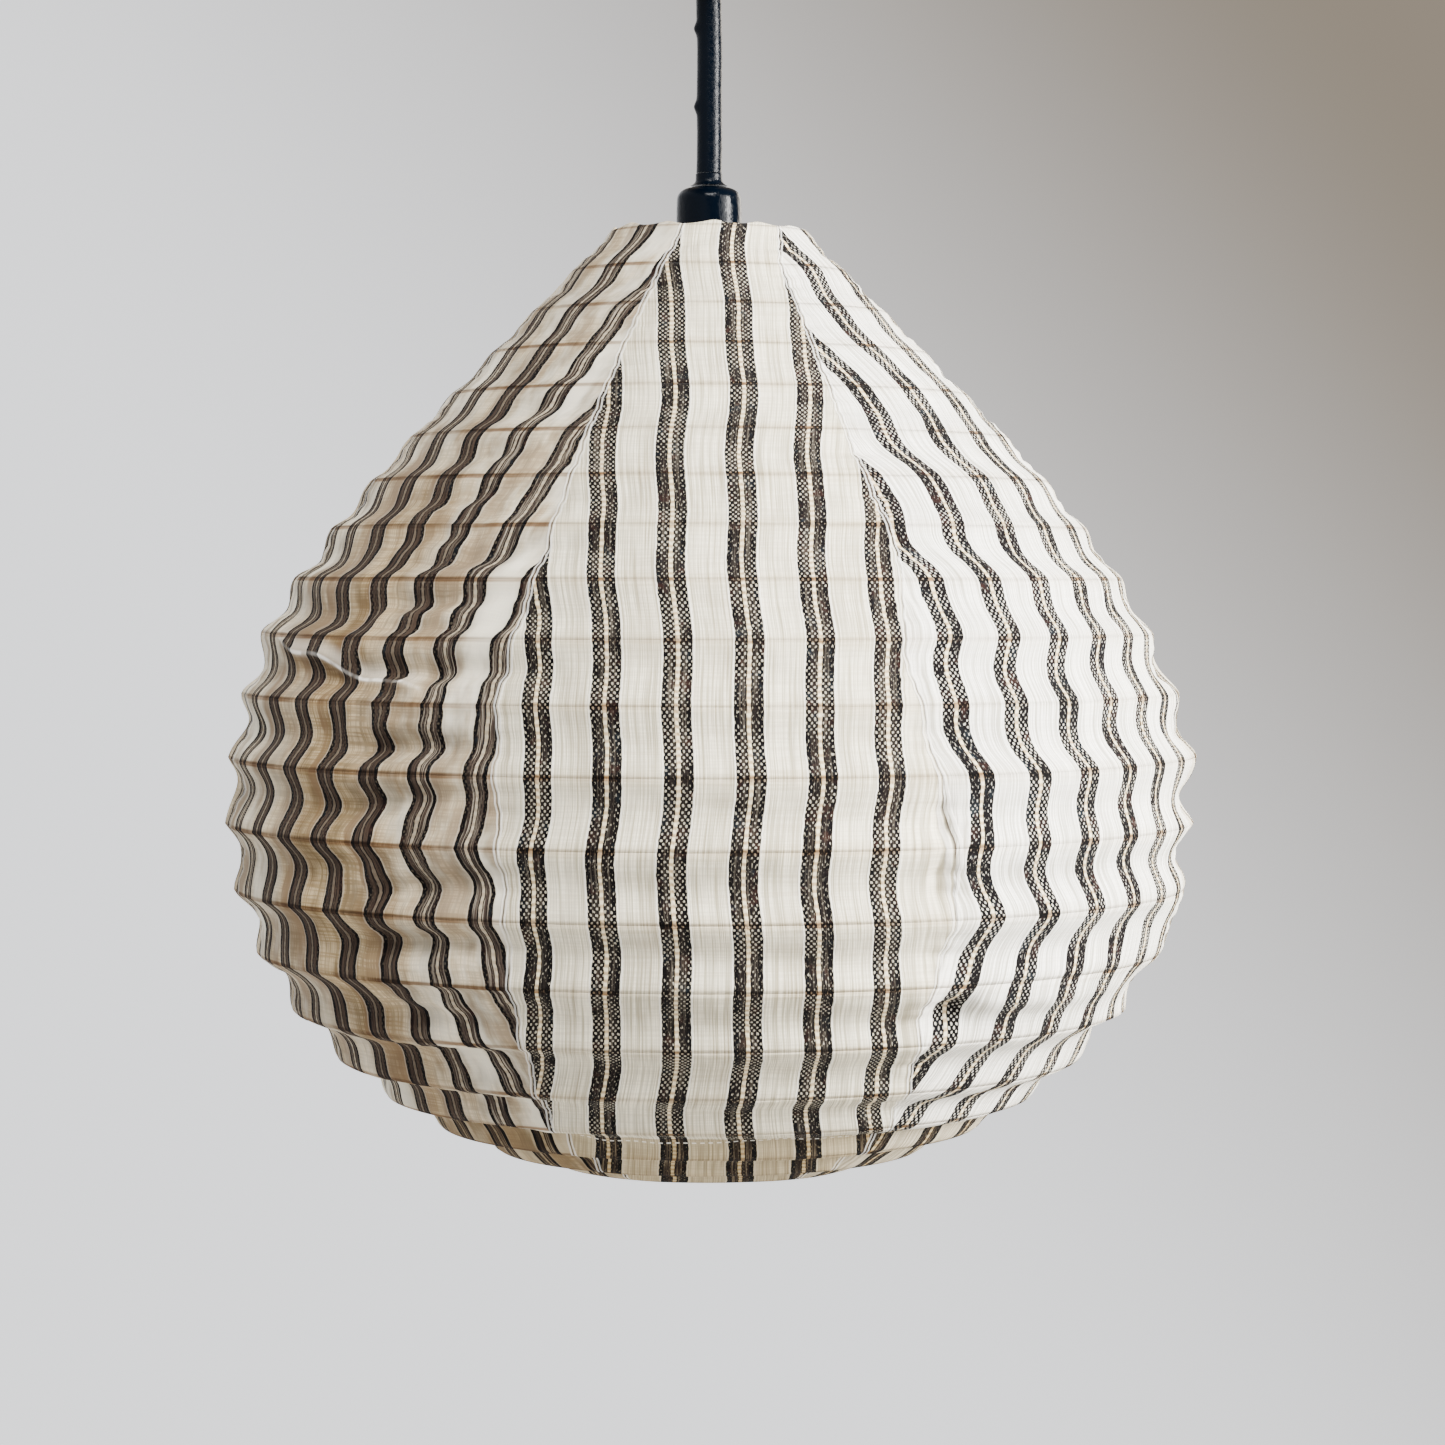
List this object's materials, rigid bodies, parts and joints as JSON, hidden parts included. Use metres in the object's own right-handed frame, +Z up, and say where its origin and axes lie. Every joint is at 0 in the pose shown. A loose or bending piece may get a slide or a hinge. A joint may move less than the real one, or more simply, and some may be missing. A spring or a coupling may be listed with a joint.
{
  "type": "accordion pendant lantern",
  "caption": "Pear-shaped pendant lantern: striped cloth gores over wire hoops that fold up like an accordion, on a black cord and ceiling cup.",
  "frame": {"origin": "middle of the ceiling plate's top face, where the lantern is fixed to the ceiling", "axes": "+Z up along the cord and the shade's axis; -Y faces the middle of the front gore; +X to the viewer's right"},
  "size_m": [0.4508, 0.4508, 0.604],
  "materials": {
    "black_plastic": "glossy moulded plastic",
    "black_rubber": "smooth glossy cable jacket",
    "coated_wire": "white coated steel",
    "striped_cotton": "hand-woven cream cotton with dark and gold warp stripes",
    "ceramic": "glazed ceramic",
    "brass": "bright",
    "nickel_cap": "bright pressed sheet",
    "opal_glass": "opal white"
  },
  "bodies": {
    "hanging_frame": {"ceiling_plate": "coated_wire", "cord_clamp": "black_plastic", "cord": "black_rubber", "cord_boot": "black_rubber", "holder_cap": "black_plastic", "holder_shell": "black_plastic", "holder_insert": "ceramic", "centre_contact": "brass", "side_contact": "brass", "screw_shell": "brass", "carrier_plate": "coated_wire", "spoke_1": "coated_wire", "spoke_2": "coated_wire", "spoke_3": "coated_wire", "leg_lug_left": "coated_wire", "leg_lug_right": "coated_wire", "leg_pin_left": "coated_wire", "leg_pin_right": "coated_wire", "ring_00": "coated_wire", "top_hem": "striped_cotton", "gore_1": "striped_cotton", "gore_2": "striped_cotton", "gore_3": "striped_cotton", "gore_4": "striped_cotton", "gore_5": "striped_cotton", "gore_6": "striped_cotton", "gore_7": "striped_cotton"},
    "canopy": {"canopy_cup": "black_plastic", "canopy_grip": "black_plastic"},
    "shade_nut": {"shade_ring": "black_plastic"},
    "bulb": {"bulb_tip": "nickel_cap", "bulb_insulator": "black_plastic", "bulb_cap": "nickel_cap", "bulb_glass": "opal_glass"},
    "left_leg": {"leg_left": "coated_wire", "leg_eye_left": "coated_wire"},
    "right_leg": {"leg_right": "coated_wire", "leg_eye_right": "coated_wire"},
    "hoop_01": {"ring_01": "coated_wire"},
    "hoop_02": {"ring_02": "coated_wire"},
    "hoop_03": {"ring_03": "coated_wire"},
    "hoop_04": {"ring_04": "coated_wire"},
    "hoop_05": {"ring_05": "coated_wire"},
    "hoop_06": {"ring_06": "coated_wire"},
    "hoop_07": {"ring_07": "coated_wire"},
    "hoop_08": {"ring_08": "coated_wire"},
    "hoop_09": {"ring_09": "coated_wire"},
    "hoop_10": {"ring_10": "coated_wire"},
    "hoop_11": {"ring_11": "coated_wire"},
    "hoop_12": {"ring_12": "coated_wire"},
    "hoop_13": {"ring_13": "coated_wire"},
    "hoop_14": {"ring_14": "coated_wire"},
    "hoop_15": {"ring_15": "coated_wire"},
    "hoop_16": {"ring_16": "coated_wire"},
    "hoop_17": {"ring_17": "coated_wire"},
    "hoop_18": {"ring_18": "coated_wire"},
    "hoop_19": {"ring_19": "coated_wire"},
    "hoop_20": {"ring_20": "coated_wire", "bottom_hem": "striped_cotton"}
  },
  "joints": [
    {"name": "canopy_slide", "type": "slide", "parent": "hanging_frame", "child": "canopy", "axis": [0, 0, 1], "range_m": [-0.055, 0]},
    {"name": "shade_ring_turn", "type": "hinge", "parent": "hanging_frame", "child": "shade_nut", "pos_m": [0, 0, -0.183], "axis": [0, 0, -1], "range_deg": [0, 720]},
    {"name": "bulb_turn", "type": "hinge", "parent": "hanging_frame", "child": "bulb", "pos_m": [0, 0, -0.2], "axis": [0, 0, -1], "range_deg": [0, 1080]},
    {"name": "leg_left_squeeze", "type": "hinge", "parent": "hanging_frame", "child": "left_leg", "pos_m": [-0.0325, 0, -0.1776], "axis": [0, -1, 0], "range_deg": [0, 4], "stiffness_Nm_per_rad": 1, "springref_deg": -2.86},
    {"name": "leg_right_squeeze", "type": "hinge", "parent": "hanging_frame", "child": "right_leg", "pos_m": [0.0325, 0, -0.1776], "axis": [0, 1, 0], "range_deg": [0, 4], "stiffness_Nm_per_rad": 1, "springref_deg": -2.86},
    {"name": "shade_fold", "type": "slide", "parent": "hanging_frame", "child": "hoop_01", "axis": [0, 0, 1], "range_m": [0, 0.01609], "deforming": ["gore_1", "gore_2", "gore_3", "gore_4", "gore_5", "gore_6", "gore_7"]},
    {"name": "fold_02", "type": "slide", "parent": "hoop_01", "child": "hoop_02", "axis": [0, 0, 1], "range_m": [0, 0.01607]},
    {"name": "fold_03", "type": "slide", "parent": "hoop_02", "child": "hoop_03", "axis": [0, 0, 1], "range_m": [0, 0.01615]},
    {"name": "fold_04", "type": "slide", "parent": "hoop_03", "child": "hoop_04", "axis": [0, 0, 1], "range_m": [0, 0.01637]},
    {"name": "fold_05", "type": "slide", "parent": "hoop_04", "child": "hoop_05", "axis": [0, 0, 1], "range_m": [0, 0.01677]},
    {"name": "fold_06", "type": "slide", "parent": "hoop_05", "child": "hoop_06", "axis": [0, 0, 1], "range_m": [0, 0.01741]},
    {"name": "fold_07", "type": "slide", "parent": "hoop_06", "child": "hoop_07", "axis": [0, 0, 1], "range_m": [0, 0.01835]},
    {"name": "fold_08", "type": "slide", "parent": "hoop_07", "child": "hoop_08", "axis": [0, 0, 1], "range_m": [0, 0.01968]},
    {"name": "fold_09", "type": "slide", "parent": "hoop_08", "child": "hoop_09", "axis": [0, 0, 1], "range_m": [0, 0.02137]},
    {"name": "fold_10", "type": "slide", "parent": "hoop_09", "child": "hoop_10", "axis": [0, 0, 1], "range_m": [0, 0.02319]},
    {"name": "fold_11", "type": "slide", "parent": "hoop_10", "child": "hoop_11", "axis": [0, 0, 1], "range_m": [0, 0.02469]},
    {"name": "fold_12", "type": "slide", "parent": "hoop_11", "child": "hoop_12", "axis": [0, 0, 1], "range_m": [0, 0.02552]},
    {"name": "fold_13", "type": "slide", "parent": "hoop_12", "child": "hoop_13", "axis": [0, 0, 1], "range_m": [0, 0.02559]},
    {"name": "fold_14", "type": "slide", "parent": "hoop_13", "child": "hoop_14", "axis": [0, 0, 1], "range_m": [0, 0.02453]},
    {"name": "fold_15", "type": "slide", "parent": "hoop_14", "child": "hoop_15", "axis": [0, 0, 1], "range_m": [0, 0.02232]},
    {"name": "fold_16", "type": "slide", "parent": "hoop_15", "child": "hoop_16", "axis": [0, 0, 1], "range_m": [0, 0.01937]},
    {"name": "fold_17", "type": "slide", "parent": "hoop_16", "child": "hoop_17", "axis": [0, 0, 1], "range_m": [0, 0.01509]},
    {"name": "fold_18", "type": "slide", "parent": "hoop_17", "child": "hoop_18", "axis": [0, 0, 1], "range_m": [0, 0.01231]},
    {"name": "fold_19", "type": "slide", "parent": "hoop_18", "child": "hoop_19", "axis": [0, 0, 1], "range_m": [0, 0.00945]},
    {"name": "fold_20", "type": "slide", "parent": "hoop_19", "child": "hoop_20", "axis": [0, 0, 1], "range_m": [0, 0.0062]}
  ],
  "couplings": [
    {"joint": "fold_02", "follows": "shade_fold", "ratio": 0.99807},
    {"joint": "fold_03", "follows": "shade_fold", "ratio": 1.0031},
    {"joint": "fold_04", "follows": "shade_fold", "ratio": 1.0169},
    {"joint": "fold_05", "follows": "shade_fold", "ratio": 1.0417},
    {"joint": "fold_06", "follows": "shade_fold", "ratio": 1.0812},
    {"joint": "fold_07", "follows": "shade_fold", "ratio": 1.14},
    {"joint": "fold_08", "follows": "shade_fold", "ratio": 1.2224},
    {"joint": "fold_09", "follows": "shade_fold", "ratio": 1.3273},
    {"joint": "fold_10", "follows": "shade_fold", "ratio": 1.4407},
    {"joint": "fold_11", "follows": "shade_fold", "ratio": 1.5339},
    {"joint": "fold_12", "follows": "shade_fold", "ratio": 1.5856},
    {"joint": "fold_13", "follows": "shade_fold", "ratio": 1.5898},
    {"joint": "fold_14", "follows": "shade_fold", "ratio": 1.5239},
    {"joint": "fold_15", "follows": "shade_fold", "ratio": 1.3864},
    {"joint": "fold_16", "follows": "shade_fold", "ratio": 1.2032},
    {"joint": "fold_17", "follows": "shade_fold", "ratio": 0.93697},
    {"joint": "fold_18", "follows": "shade_fold", "ratio": 0.76416},
    {"joint": "fold_19", "follows": "shade_fold", "ratio": 0.58695},
    {"joint": "fold_20", "follows": "shade_fold", "ratio": 0.38476}
  ]
}
